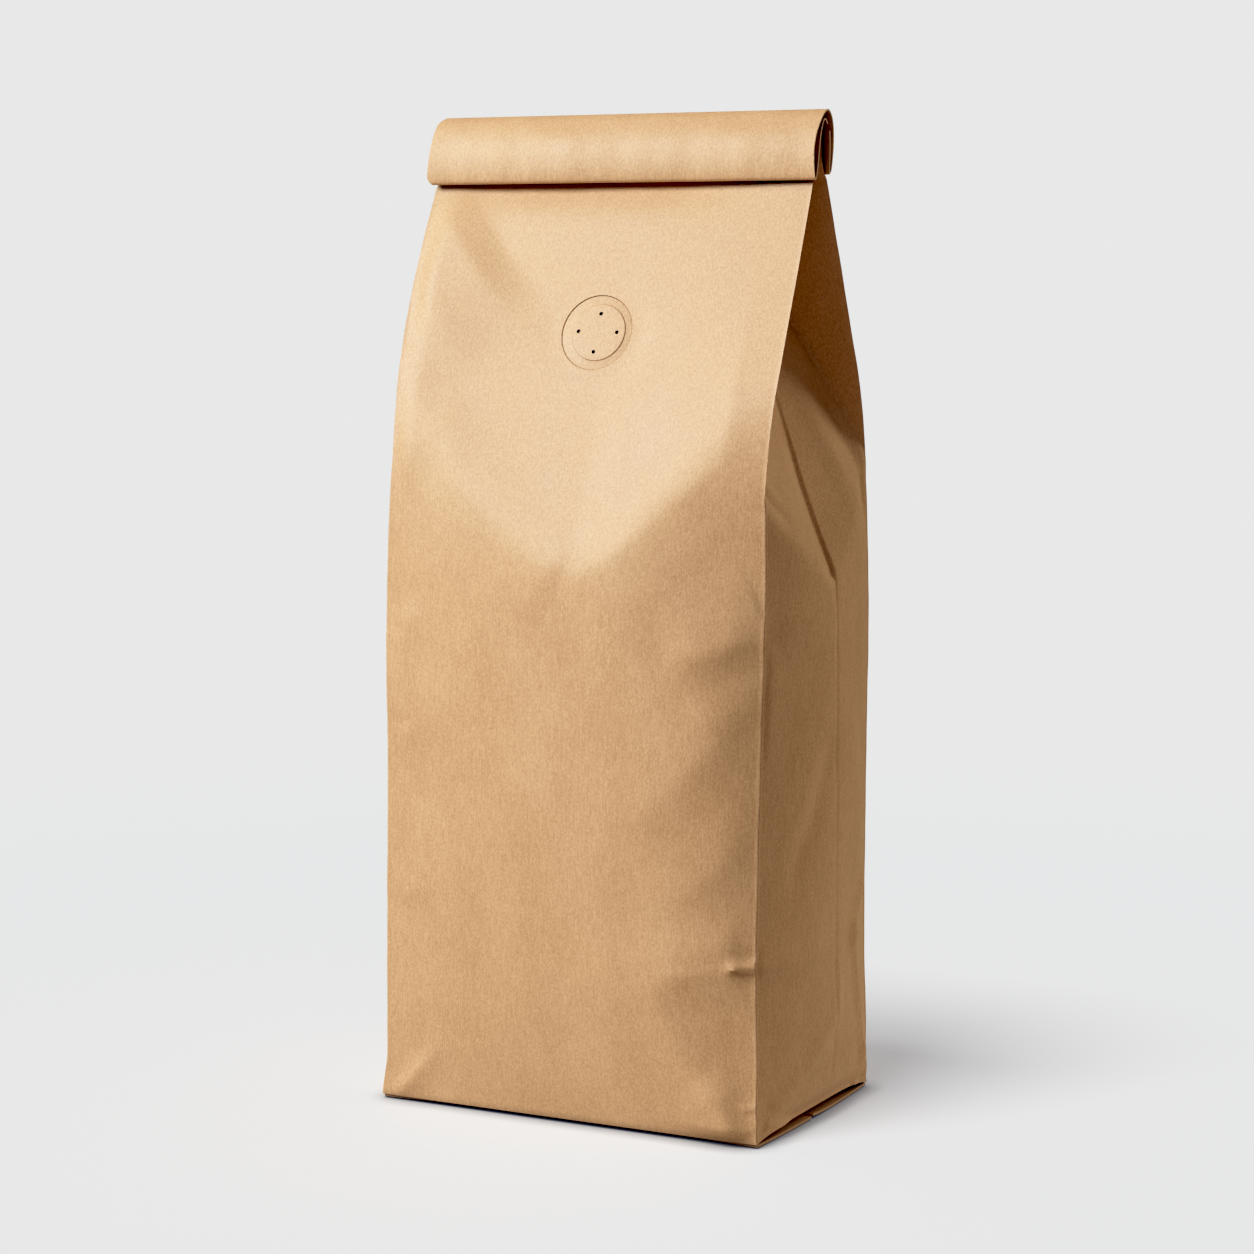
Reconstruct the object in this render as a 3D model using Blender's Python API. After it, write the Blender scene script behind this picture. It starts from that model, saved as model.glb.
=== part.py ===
"""Side-gusset coffee bag of kraft paper, filled, block-bottomed and rolled shut, with a degassing valve.

Metres, +Z up. The origin is on the table under the middle of the bag, the front panel faces -Y,
and the side gussets face -X and +X.
"""
import math

import bmesh
import bpy
from mathutils import Matrix, Vector

# The body: the panels' own sizes
HALF_WIDTH_BASE = 0.0655        # front corner creases at the table
HALF_WIDTH_BODY = 0.0636        # where the bulging panels draw the creases in
HALF_WIDTH_NECK = 0.0653
BASE_SPREAD = 0.015             # up to this height the creases draw in from the base
DRAWN_IN_TO = 0.100             # from here to WIDENED_AT they open again towards the neck
WIDENED_AT = 0.240
BASE_DEPTH = 0.0418             # half the depth of the block bottom
BODY_TAPER = 0.014              # the creases close in slowly up the filled body
FOLD_THICKNESS = 0.0006         # a corner crease is two plies pressed together
FOLD_SHARE_MOST = 0.3           # of the bag's depth, where the neck is thinner than its folds

# The shoulder: above the coffee both panels lean in towards the roll
NECK_HEIGHT = 0.286
NECK_DEPTH = 0.0057
EDGE_SLOPE = 0.43               # corner creases, metres of depth per metre of height
EDGE_BLEND = 0.015
PANEL_TOP_DEPTH = 0.0064
PANEL_LEAN = math.radians(20.0)
PANEL_BLEND = 0.004
EDGE_STAND_POWER = 6.0          # how closely the upright ridge keeps to the corner crease

# The fill: how far the panels and the gussets swell
PANEL_BULGE = 0.0095
PANEL_BULGE_RISE = 0.028
PANEL_BULGE_POWER = 1.8
GUSSET_BULGE = 0.0060
GUSSET_BULGE_RISE = 0.014

# The gusset's tuck: above the coffee its middle crease slopes inwards, and the floor of the tuck
# meets a steep wall of paper beside each corner crease
TUCK_START = 0.168
TUCK_SLOPE = 0.37
TUCK_VALLEY = 0.06              # how far the floor rises from its middle crease to either side
TUCK_BLEND = 0.003
WALL_START = 0.193
WALL_SLOPE = 0.6
WALL_STEEPENS = 80.0            # added slope for each metre above WALL_START
WIDEST_FLOOR = 0.94             # shares of the depth from the middle crease to a corner crease
NARROWEST_FLOOR = 0.30
TUCK_CLOSED = 0.291             # inside the roll the plies lie flat on each other
END_RECESS = 0.003

# The neck inside the roll: height, front face and rear face
NECK_STATIONS = ((0.2860, -0.0060, 0.0056), (0.2880, -0.0043, 0.0032), (0.2900, -0.0034, 0.0019),
                 (0.2945, -0.0017, 0.0010), (0.2995, -0.0007, 0.0011), (0.3045, 0.0002, 0.0014))

# The roll: its folded strip seen from the end, as (y, z)
ROLL_HALF_WIDTH = 0.0668
ROLL_THICKNESS = 0.0009
ROLL_PATH = ((0.0008, 0.3000), (0.0009, 0.3040), (0.0000, 0.3062), (-0.0016, 0.3042), (-0.0034, 0.2990),
             (-0.0052, 0.2935), (-0.0058, 0.2894), (-0.0066, 0.2881), (-0.0076, 0.2900), (-0.0077, 0.2940),
             (-0.0068, 0.2988), (-0.0044, 0.3038), (-0.0012, 0.3072), (0.0018, 0.3086), (0.0045, 0.3066),
             (0.0066, 0.3018), (0.0072, 0.2965), (0.0062, 0.2920), (0.0046, 0.2903), (0.0036, 0.2920),
             (0.0034, 0.2960), (0.0036, 0.3020))
ROLL_STEPS = 3

# The block bottom: two flaps folded under the body, meeting at a seam
FLAP_THICKNESS = 0.0012
FLAP_HALF_WIDTH = 0.0650
FLAP_BOW = 0.0018
FLAP_FRONT = 0.0412
SEAM_FROM_MIDDLE = -0.0035
SEAM_GAP = 0.0008
BOTTOM_HEIGHT = 0.0010
BOTTOM_INSET_PANEL = 0.0010     # the papers turn under: this far in at the bottom's own height
BOTTOM_INSET_GUSSET = 0.0045
TURN_HEIGHT = 0.0008            # and this little above it they are nearly at their full width
TURN_INSET_PANEL = 0.0001
TURN_INSET_GUSSET = 0.0008
GUSSET_LIFT = 0.0014
LIFT_STARTS = 0.050             # places across the bag between which the lift grows
LIFT_WHOLE = 0.064
FLAP_SIDE_STEPS = 4

# The valve: a round plate under the front panel, with four pinholes
VALVE_HEIGHT = 0.2421
VALVE_ACROSS = 0.0013           # a little to the right of the bag's middle
VALVE_RADIUS = 0.0120
VALVE_CAP_RADIUS = 0.0089
VALVE_GAP = 0.0003
VALVE_POCKET = 0.0016
VALVE_SUNK = 0.0004
VALVE_PROUD = 0.0002
PINHOLES = 4
PINHOLE_CIRCLE = 0.0064
PINHOLE_RADIUS = 0.00045
PINHOLE_DEPTH = 0.0010
CUT_CLEAR = 0.004               # how far the pocket's and the pinholes' cutters stand out of the panel

# Finishes: linear colour and roughness
KRAFT_COLOUR = (0.60, 0.38, 0.20)
KRAFT_ROUGHNESS = 0.62
VALVE_COLOUR = (0.62, 0.40, 0.21)
VALVE_ROUGHNESS = 0.60

# How finely the curved faces are cut, and the heights of the body's rings
PANEL_STEPS = 20
WALL_STEPS = 2
FLOOR_STEPS = 12
ROUND_STEPS = 48
RING_HEIGHTS = (0.0040, 0.0080, 0.0140, 0.0220, 0.0320, 0.0450, 0.0600, 0.0780, 0.0960, 0.1140, 0.1300,
                0.1440, 0.1550, 0.1620, 0.1680, 0.1740, 0.1800, 0.1860, 0.1920, 0.1980, 0.2040, 0.2100,
                0.2160, 0.2220, 0.2280, 0.2340, 0.2400, 0.2460, 0.2520, 0.2590, 0.2660, 0.2730, 0.2800)


def smooth_step(low, high, value):
    """0 below low, 1 above high, and an S curve between them."""
    t = min(1.0, max(0.0, (value - low) / (high - low)))
    return t * t * (3 - 2 * t)


def soft_min(a, b, width):
    """The lower of two surfaces, rounded where they cross."""
    overlap = max(width - abs(a - b), 0.0) / width
    return min(a, b) - overlap * overlap * width / 4


def between(stations, z, column):
    """A straight-line reading of one column of a table of stations."""
    for low, high in zip(stations, stations[1:]):
        if z <= high[0]:
            share = max(0.0, (z - low[0]) / (high[0] - low[0]))
            return low[column] + (high[column] - low[column]) * share
    return stations[-1][column]


def half_width(z):
    drawn_in = smooth_step(0.0, BASE_SPREAD, z) * (1 - smooth_step(DRAWN_IN_TO, WIDENED_AT, z))
    resting = HALF_WIDTH_BASE + (HALF_WIDTH_NECK - HALF_WIDTH_BASE) * smooth_step(0.0, WIDENED_AT, z)
    return resting + (HALF_WIDTH_BODY - resting) * drawn_in


def panel_depth(x, z):
    """How far the front panel stands in front of the bag's middle plane; the rear panel matches it."""
    across = min(1.0, abs(x) / half_width(z))
    bulge = PANEL_BULGE * (1 - math.exp(-z / PANEL_BULGE_RISE))
    filled = BASE_DEPTH - BODY_TAPER * z + bulge * (1 - across ** PANEL_BULGE_POWER)
    leaning = PANEL_TOP_DEPTH + (NECK_HEIGHT - z) * math.tan(PANEL_LEAN)
    edge = NECK_DEPTH + (NECK_HEIGHT - z) * EDGE_SLOPE
    shoulder = leaning + (edge - leaning) * across ** EDGE_STAND_POWER
    return soft_min(filled, shoulder, PANEL_BLEND + (EDGE_BLEND - PANEL_BLEND) * across ** 2)


def panel_faces(x, z):
    """The y of the front and of the rear panel."""
    if z < NECK_HEIGHT:
        return -panel_depth(x, z), panel_depth(x, z)
    return between(NECK_STATIONS, z, 1), between(NECK_STATIONS, z, 2)


def tuck_floor(z):
    """Where the floor of the tuck meets the gusset's middle crease."""
    return GUSSET_BULGE - TUCK_SLOPE * (z - TUCK_START)


def wall_slope(z):
    return WALL_SLOPE + WALL_STEEPENS * max(0.0, z - WALL_START)


def wall_foot(z, depth):
    """The distance from the middle crease to the fold between the floor and the wall of the tuck."""
    foot = (wall_slope(z) * depth + tuck_floor(z)) / (wall_slope(z) - TUCK_VALLEY)
    return min(WIDEST_FLOOR * depth, max(NARROWEST_FLOOR * depth, foot))


def gusset_offset(y, z, depth):
    """How far the gusset stands outside the corner creases, or inside them where the value is negative."""
    across = min(1.0, abs(y) / depth)
    swollen = GUSSET_BULGE * (1 - math.exp(-z / GUSSET_BULGE_RISE)) * (1 - across ** 2)
    floor = tuck_floor(z) + TUCK_VALLEY * abs(y)
    wall = -wall_slope(z) * (depth - abs(y))
    tucked = max(soft_min(swollen, floor, TUCK_BLEND), wall)
    return tucked + (-END_RECESS - tucked) * smooth_step(NECK_HEIGHT, TUCK_CLOSED, z)


def gusset_points(side, z):
    """One gusset from front to rear, starting and ending just inside the corner creases' own plies."""
    front, rear = panel_faces(half_width(z), z)
    fold = min(FOLD_THICKNESS, (rear - front) * FOLD_SHARE_MOST)
    middle = (front + rear) / 2
    depth = (rear - front) / 2 - fold
    foot = wall_foot(z, depth)
    wall = [depth + (foot - depth) * step / WALL_STEPS for step in range(WALL_STEPS)]
    floor = [foot * (1 - 2 * step / FLOOR_STEPS) for step in range(FLOOR_STEPS + 1)]
    points = []
    for y in [-y for y in wall] + list(reversed(floor)) + list(reversed(wall)):
        points.append(Vector((side * (half_width(z) + gusset_offset(y, z, depth)), middle + y, z)))
    return points


def ring(z):
    """The bag's outline at one height, anticlockwise seen from above."""
    xs = [half_width(z) * (2 * step / PANEL_STEPS - 1) for step in range(PANEL_STEPS + 1)]
    front = [Vector((x, panel_faces(x, z)[0], z)) for x in xs]
    rear = [Vector((x, panel_faces(x, z)[1], z)) for x in reversed(xs)]
    return front + gusset_points(1, z) + rear + list(reversed(gusset_points(-1, z)))


def bottom_ring(height, panel_inset, gusset_inset):
    """The outline near the table, drawn in, and lifted along the gussets to leave a slit over the flaps."""
    points = []
    for point in ring(height):
        along = 1 - min(1.0, abs(point.y) / BASE_DEPTH) ** 2
        inset_x = gusset_inset * abs(point.x) / HALF_WIDTH_BASE
        inset_y = panel_inset * abs(point.y) / BASE_DEPTH
        lift = GUSSET_LIFT * along * smooth_step(LIFT_STARTS, LIFT_WHOLE, abs(point.x))
        lift *= 1.0 if height > BOTTOM_HEIGHT else 0.0
        points.append(Vector((point.x - math.copysign(inset_x, point.x),
                              point.y - math.copysign(inset_y, point.y), height + lift)))
    return points


def loft(name, rings):
    """A closed mesh object skinned over rings that all have the same number of points."""
    mesh = bmesh.new()
    loops = [[mesh.verts.new(point) for point in points] for points in rings]
    for lower, upper in zip(loops, loops[1:]):
        for here in range(len(lower)):
            after = (here + 1) % len(lower)
            mesh.faces.new((lower[here], lower[after], upper[after], upper[here]))
    mesh.faces.new(list(reversed(loops[0])))
    mesh.faces.new(loops[-1])
    bmesh.ops.recalc_face_normals(mesh, faces=mesh.faces)
    return mesh_object(name, mesh)


def mesh_object(name, mesh):
    data = bpy.data.meshes.new(name)
    mesh.to_mesh(data)
    mesh.free()
    made = bpy.data.objects.new(name, data)
    bpy.context.collection.objects.link(made)
    return made


def prism(name, outline, axis, low, high):
    """A flat outline extruded between two places along an axis, 0 for X or 2 for Z."""
    mesh = bmesh.new()
    corners = []
    for a, b in outline:
        corners.append(mesh.verts.new((low, a, b) if axis == 0 else (a, b, low)))
    face = mesh.faces.new(corners)
    lifted = bmesh.ops.extrude_face_region(mesh, geom=[face])["geom"]
    moved = [item for item in lifted if isinstance(item, bmesh.types.BMVert)]
    way = Vector((high - low, 0, 0)) if axis == 0 else Vector((0, 0, high - low))
    bmesh.ops.translate(mesh, vec=way, verts=moved)
    bmesh.ops.recalc_face_normals(mesh, faces=mesh.faces)
    return mesh_object(name, mesh)


def smooth_path(corners, steps):
    """A Catmull-Rom curve through the corners, with steps points to each span."""
    points = [Vector(corner) for corner in corners]
    ends = [points[0] * 2 - points[1]] + points + [points[-1] * 2 - points[-2]]
    curve = []
    for first, start, stop, last in zip(ends, ends[1:], ends[2:], ends[3:]):
        for step in range(steps):
            t = step / steps
            curve.append(0.5 * (2 * start + (stop - first) * t
                                + (2 * first - 5 * start + 4 * stop - last) * t ** 2
                                + (3 * start - first - 3 * stop + last) * t ** 3))
    return curve + [points[-1]]


def strip_outline(centre, thickness):
    """The closed outline of a strip of even thickness along a centre line."""
    left, right = [], []
    for here, point in enumerate(centre):
        along = centre[min(here + 1, len(centre) - 1)] - centre[max(here - 1, 0)]
        out = Vector((-along.y, along.x)).normalized() * thickness / 2
        left.append(point + out)
        right.append(point - out)
    return left + list(reversed(right))


def disc(name, radius, low, high, location=(0, 0, 0)):
    """A cylinder from low to high along its own Z."""
    mesh = bmesh.new()
    place = Matrix.Translation(Vector(location) + Vector((0, 0, (low + high) / 2)))
    bmesh.ops.create_cone(mesh, cap_ends=True, segments=ROUND_STEPS, radius1=radius, radius2=radius,
                          depth=high - low, matrix=place)
    return mesh_object(name, mesh)


def combine(target, tool, operation):
    modifier = target.modifiers.new(f"{operation.lower()}_{tool.name}", "BOOLEAN")
    modifier.operation = operation
    modifier.object = tool
    tool.hide_render = True
    tool.display_type = "WIRE"


def material(name, colour, roughness):
    made = bpy.data.materials.new(name)
    made.use_nodes = True
    shader = made.node_tree.nodes["Principled BSDF"]
    shader.inputs["Base Color"].default_value = (*colour, 1)
    shader.inputs["Roughness"].default_value = roughness
    return made


def flap_outline(front, rear):
    """A bottom flap: straight across the bag, and bowed a little outwards at both gussets."""
    ys = [front + (rear - front) * step / FLAP_SIDE_STEPS for step in range(FLAP_SIDE_STEPS + 1)]
    right = [(FLAP_HALF_WIDTH + FLAP_BOW * (1 - (y / FLAP_FRONT) ** 2), y) for y in ys]
    return right + [(-x, y) for x, y in reversed(right)]


def make_bag():
    rings = [bottom_ring(BOTTOM_HEIGHT, BOTTOM_INSET_PANEL, BOTTOM_INSET_GUSSET),
             bottom_ring(BOTTOM_HEIGHT + TURN_HEIGHT, TURN_INSET_PANEL, TURN_INSET_GUSSET)]
    rings += [ring(z) for z in RING_HEIGHTS]
    rings += [ring(station[0]) for station in NECK_STATIONS]
    bag = loft("bag", rings)
    roll = prism("roll_tool", strip_outline(smooth_path(ROLL_PATH, ROLL_STEPS), ROLL_THICKNESS), 0,
                 -ROLL_HALF_WIDTH, ROLL_HALF_WIDTH)
    combine(bag, roll, "UNION")
    for name, front, rear in (("front_flap_tool", -FLAP_FRONT, SEAM_FROM_MIDDLE - SEAM_GAP / 2),
                              ("rear_flap_tool", SEAM_FROM_MIDDLE + SEAM_GAP / 2, FLAP_FRONT)):
        combine(bag, prism(name, flap_outline(front, rear), 2, 0.0, FLAP_THICKNESS), "UNION")
    return bag


def make_valve(bag):
    """The valve's plate in a shallow round pocket, square to the leaning panel."""
    seat = bpy.data.objects.new("valve_seat", None)
    bpy.context.collection.objects.link(seat)
    seat.location = (VALVE_ACROSS, panel_faces(VALVE_ACROSS, VALVE_HEIGHT)[0], VALVE_HEIGHT)
    seat.rotation_euler = (math.pi / 2 - PANEL_LEAN, 0, 0)
    pocket = disc("pocket_tool", VALVE_RADIUS, -VALVE_POCKET, CUT_CLEAR)
    valve = disc("valve", VALVE_RADIUS - VALVE_GAP, VALVE_GAP - VALVE_POCKET, -VALVE_SUNK)
    cap = disc("cap_tool", VALVE_CAP_RADIUS, VALVE_GAP * 2 - VALVE_POCKET, VALVE_PROUD)
    for piece in (pocket, valve, cap):
        piece.parent = seat
    combine(bag, pocket, "DIFFERENCE")
    combine(valve, cap, "UNION")
    for turn in range(PINHOLES):
        angle = 2 * math.pi * turn / PINHOLES
        place = (PINHOLE_CIRCLE * math.cos(angle), PINHOLE_CIRCLE * math.sin(angle), 0)
        pin = disc(f"pinhole_tool_{turn}", PINHOLE_RADIUS, VALVE_PROUD - PINHOLE_DEPTH, CUT_CLEAR, place)
        pin.parent = seat
        combine(valve, pin, "DIFFERENCE")
    return valve


def main():
    for old in list(bpy.data.objects):
        bpy.data.objects.remove(old)
    bag = make_bag()
    valve = make_valve(bag)
    bag.data.materials.append(material("kraft_paper", KRAFT_COLOUR, KRAFT_ROUGHNESS))
    valve.data.materials.append(material("valve_face", VALVE_COLOUR, VALVE_ROUGHNESS))


main()
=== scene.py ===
"""A filled coffee bag of plain kraft paper: folded, block-bottomed, rolled shut, with a degassing valve."""
import math

import bpy
import numpy as np
from mathutils import Matrix, Vector


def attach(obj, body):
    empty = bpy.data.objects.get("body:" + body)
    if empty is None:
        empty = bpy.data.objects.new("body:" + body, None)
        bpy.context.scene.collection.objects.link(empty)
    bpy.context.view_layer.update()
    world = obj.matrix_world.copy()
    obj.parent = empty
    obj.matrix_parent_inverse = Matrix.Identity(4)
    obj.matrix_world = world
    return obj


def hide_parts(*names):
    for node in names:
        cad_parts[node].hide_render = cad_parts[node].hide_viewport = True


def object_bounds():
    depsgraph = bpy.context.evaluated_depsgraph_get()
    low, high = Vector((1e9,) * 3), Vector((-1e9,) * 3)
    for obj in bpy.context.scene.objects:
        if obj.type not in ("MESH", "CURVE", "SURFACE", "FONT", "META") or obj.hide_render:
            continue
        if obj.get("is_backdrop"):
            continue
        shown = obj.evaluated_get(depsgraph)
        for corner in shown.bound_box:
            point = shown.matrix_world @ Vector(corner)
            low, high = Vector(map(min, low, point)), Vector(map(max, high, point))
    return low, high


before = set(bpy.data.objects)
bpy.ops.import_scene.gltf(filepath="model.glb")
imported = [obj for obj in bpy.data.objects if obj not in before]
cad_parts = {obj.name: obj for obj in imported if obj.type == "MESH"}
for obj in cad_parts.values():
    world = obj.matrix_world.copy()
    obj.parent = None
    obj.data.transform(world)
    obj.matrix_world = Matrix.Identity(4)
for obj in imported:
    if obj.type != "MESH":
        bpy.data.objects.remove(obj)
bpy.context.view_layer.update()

# ---------------------------------------------------------------------------------------------------
# Studio: a pale table top that runs out into an even grey backdrop. One large softbox stands in front
# of the bag, a little to its left; a second light comes from behind, and soft light from all round.
# The camera stands at the bag's front right, a little above its middle.
CAMERA_AZIMUTH = math.radians(27.21)
CAMERA_PITCH = math.radians(6.52)
CAMERA_PLACE = (0.45055, -0.87600, 0.26205)
CAMERA_LENS = 90.54
CAMERA_SENSOR = 36.0
VIEW_SHOULDER = ((0.30, 0.30), (0.62, 0.615), (0.86, 0.805))
VIEW_TOP = 0.88
BLACK_LEVEL = (0.030, 0.030, 0.020)
# The fourth of the view's curves acts on all three colours
ALL_COLOURS = 3

STUDIO_GREY = (0.867, 0.870, 0.8695)
TABLE_SIZE = 14.0
TABLE_GREY = (0.792, 0.801, 0.804)
TABLE_GLOW = (0.256, 0.288, 0.322)
TABLE_ROUGHNESS = 0.95
TABLE_NEAR = 0.35
TABLE_FAR = 0.75
CONTACT_SHADOW_REACH = 0.008
CONTACT_SHADOW_GREY = (0.20, 0.19, 0.18)
BOUNCE_NEAR = 0.37
BOUNCE_FAR = 0.12
ROOM_LIGHT = 0.20
ROOM_COLOUR = (1.0, 0.83, 0.66)

KEY_AZIMUTH = math.radians(-43)
KEY_HEIGHT = math.radians(30)
KEY_AIM = Vector((0, 0, 0.20))
KEY_DISTANCE = 2.0
KEY_SIZE = 0.9
KEY_POWER = 53.0
RIM_AZIMUTH = math.radians(144)
RIM_HEIGHT = math.radians(28)
RIM_SIZE = math.radians(22)
RIM_POWER = 1.50
RIM_COLOUR = (0.93, 0.90, 0.84)
TABLE_LAMP_AZIMUTH = math.radians(-16)
TABLE_LAMP_HEIGHT = math.radians(66)
TABLE_LAMP_SIZE = math.radians(22)
TABLE_LAMP_POWER = 1.86


def look_from(azimuth, elevation):
    """The direction from the bag towards a place round it; azimuth 0 is in front and 90 on its right."""
    flat = math.cos(elevation)
    return Vector((math.sin(azimuth) * flat, -math.cos(azimuth) * flat, math.sin(elevation)))


bpy.ops.object.select_all(action="DESELECT")
bpy.ops.object.camera_add(location=CAMERA_PLACE)
camera = bpy.context.object
camera.rotation_euler = (-look_from(CAMERA_AZIMUTH, CAMERA_PITCH)).to_track_quat("-Z", "Y").to_euler()
camera.data.lens = CAMERA_LENS
camera.data.sensor_width = CAMERA_SENSOR
bpy.context.scene.camera = camera
view = bpy.context.scene.view_settings
view.view_transform = "Standard"
view.use_curve_mapping = True
view.curve_mapping.black_level = BLACK_LEVEL
shoulder_curve = view.curve_mapping.curves[ALL_COLOURS]
for level, shown in VIEW_SHOULDER:
    shoulder_curve.points.new(level, shown)
shoulder_curve.points[-1].location = (1.0, VIEW_TOP)
view.curve_mapping.update()

bpy.ops.mesh.primitive_plane_add(size=TABLE_SIZE)
table_top = bpy.context.object
table_top.name = "table_top"
table_paint = bpy.data.materials.new("table_paint")
table_paint.use_nodes = True
nodes, links = table_paint.node_tree.nodes, table_paint.node_tree.links
paint = nodes["Principled BSDF"]
paint.inputs["Roughness"].default_value = TABLE_ROUGHNESS
paint.inputs["Specular IOR Level"].default_value = 0.0
paint.inputs["Emission Strength"].default_value = 1.0
# Painted contact shadow: close to the bag the table's glow dims and its colour darkens towards a dark grey
contact_shadow = nodes.new("ShaderNodeAmbientOcclusion")
contact_shadow.inputs["Distance"].default_value = CONTACT_SHADOW_REACH
contact_shadow.inputs["Color"].default_value = (*TABLE_GLOW, 1)
links.new(contact_shadow.outputs["Color"], paint.inputs["Emission Color"])
shade = nodes.new("ShaderNodeMix")
shade.data_type = "RGBA"
shade.inputs["A"].default_value = (*CONTACT_SHADOW_GREY, 1)
shade.inputs["B"].default_value = (*TABLE_GREY, 1)
links.new(contact_shadow.outputs["AO"], shade.inputs["Factor"])
links.new(shade.outputs["Result"], paint.inputs["Base Color"])
far_light = nodes.new("ShaderNodeEmission")
far_light.inputs["Color"].default_value = (*STUDIO_GREY, 1)
bounce = nodes.new("ShaderNodeEmission")
bounce.inputs["Color"].default_value = (*ROOM_COLOUR, 1)
place = nodes.new("ShaderNodeTexCoord")
distance = nodes.new("ShaderNodeVectorMath")
distance.operation = "LENGTH"
fade = nodes.new("ShaderNodeMapRange")
fade.interpolation_type = "SMOOTHSTEP"
fade.inputs["From Min"].default_value = TABLE_NEAR
fade.inputs["From Max"].default_value = TABLE_FAR
bounce_fade = nodes.new("ShaderNodeMapRange")
bounce_fade.inputs["To Min"].default_value = BOUNCE_NEAR
bounce_fade.inputs["To Max"].default_value = BOUNCE_FAR
links.new(fade.outputs["Result"], bounce_fade.inputs["Value"])
links.new(bounce_fade.outputs["Result"], bounce.inputs["Strength"])
rays = nodes.new("ShaderNodeLightPath")
near_to_far = nodes.new("ShaderNodeMixShader")
seen_or_lit = nodes.new("ShaderNodeMixShader")
links.new(place.outputs["Object"], distance.inputs[0])
links.new(distance.outputs["Value"], fade.inputs["Value"])
links.new(fade.outputs["Result"], near_to_far.inputs["Fac"])
links.new(paint.outputs["BSDF"], near_to_far.inputs[1])
links.new(far_light.outputs["Emission"], near_to_far.inputs[2])
links.new(rays.outputs["Is Camera Ray"], seen_or_lit.inputs["Fac"])
links.new(bounce.outputs["Emission"], seen_or_lit.inputs[1])
links.new(near_to_far.outputs["Shader"], seen_or_lit.inputs[2])
links.new(seen_or_lit.outputs["Shader"], nodes["Material Output"].inputs["Surface"])
table_top.data.materials.append(table_paint)
table_top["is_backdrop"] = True

studio = bpy.data.worlds.new("studio")
bpy.context.scene.world = studio
studio.use_nodes = True
nodes, links = studio.node_tree.nodes, studio.node_tree.links
nodes["Background"].inputs["Color"].default_value = (*ROOM_COLOUR, 1)
nodes["Background"].inputs["Strength"].default_value = ROOM_LIGHT
backdrop = nodes.new("ShaderNodeBackground")
backdrop.inputs["Color"].default_value = (*STUDIO_GREY, 1)
rays = nodes.new("ShaderNodeLightPath")
blend = nodes.new("ShaderNodeMixShader")
links.new(rays.outputs["Is Camera Ray"], blend.inputs["Fac"])
links.new(nodes["Background"].outputs["Background"], blend.inputs[1])
links.new(backdrop.outputs["Background"], blend.inputs[2])
links.new(blend.outputs["Shader"], nodes["World Output"].inputs["Surface"])


def aim(lamp, azimuth, elevation):
    lamp.rotation_euler = (-look_from(azimuth, elevation)).to_track_quat("-Z", "Y").to_euler()


def light_only(lamp, name, state):
    """Lets a lamp light nothing but the table top, or everything but it."""
    chosen = bpy.data.collections.new(name)
    chosen.objects.link(table_top)
    chosen.collection_objects[0].light_linking.link_state = state
    lamp.light_linking.receiver_collection = chosen


bpy.ops.object.light_add(type="AREA")
softbox = bpy.context.object
softbox.name = "softbox"
softbox.data.shape = "DISK"
softbox.data.size = KEY_SIZE
softbox.data.energy = KEY_POWER
softbox.location = KEY_AIM + look_from(KEY_AZIMUTH, KEY_HEIGHT) * KEY_DISTANCE
aim(softbox, KEY_AZIMUTH, KEY_HEIGHT)
light_only(softbox, "not_on_the_table", "EXCLUDE")

bpy.ops.object.light_add(type="SUN")
rim = bpy.context.object
rim.name = "back_panel"
rim.data.angle = RIM_SIZE
rim.data.energy = RIM_POWER
rim.data.color = RIM_COLOUR
rim.visible_glossy = False
aim(rim, RIM_AZIMUTH, RIM_HEIGHT)
light_only(rim, "not_on_the_table_either", "EXCLUDE")

bpy.ops.object.light_add(type="SUN")
table_lamp = bpy.context.object
table_lamp.name = "table_lamp"
table_lamp.data.angle = TABLE_LAMP_SIZE
table_lamp.data.energy = TABLE_LAMP_POWER
aim(table_lamp, TABLE_LAMP_AZIMUTH, TABLE_LAMP_HEIGHT)
light_only(table_lamp, "only_on_the_table", "INCLUDE")

# ---------------------------------------------------------------------------------------------------
# The bag: one sheet of brown kraft paper, pasted into a tube with a pleat down each side. Its filling
# has squared it up; the panels swell over the beans and lean in above them, and the pleats fold
# inwards under the rolled top.

# Half widths: at the base, over the beans and at the neck
HALF_WIDTH_BASE = 0.0655
HALF_WIDTH_BODY = 0.0636
HALF_WIDTH_NECK = 0.0653
BASE_BLEND = 0.015
NECK_WIDENS = (0.100, 0.240)

# The swollen lower part of the panels. Its crown lies right of the middle. The panel falls off from it
# with one power to the left, and to the right with one low down and another above.
BODY_LOW = 0.0013
BODY_TOP = 0.3040
BASE_DEPTH = 0.0418
BODY_TAPER = 0.014
PANEL_BULGE = 0.0100
PANEL_BULGE_RISE = 0.040
CROWN = 0.33
CROWN_POWER_LEFT = 1.5
CROWN_POWER_RIGHT = (2.6, 0.85)
CROWN_FLATTER = (0.135, 0.190)

# The leaning upper part, and how it blends into the lower one
PANEL_TOP_DEPTH = 0.0064
PANEL_LEAN = math.radians(20.0)
EDGE_SLOPE = 0.43
EDGE_EASED = 0.025
EDGE_EASED_FROM = 0.2
SHOULDER_POWER = 2.2
SHOULDER_LIFT = 0.0030
LIFT_FROM = 0.006
LIFT_MOST = 0.052
LIFT_AT_EDGE = 0.6
LIFT_TOP = 0.275
LIFT_FULL = 0.190
PANEL_BLEND = 0.004
LEFT_BLEND = 0.011
RIGHT_BLEND = 0.005

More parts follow.
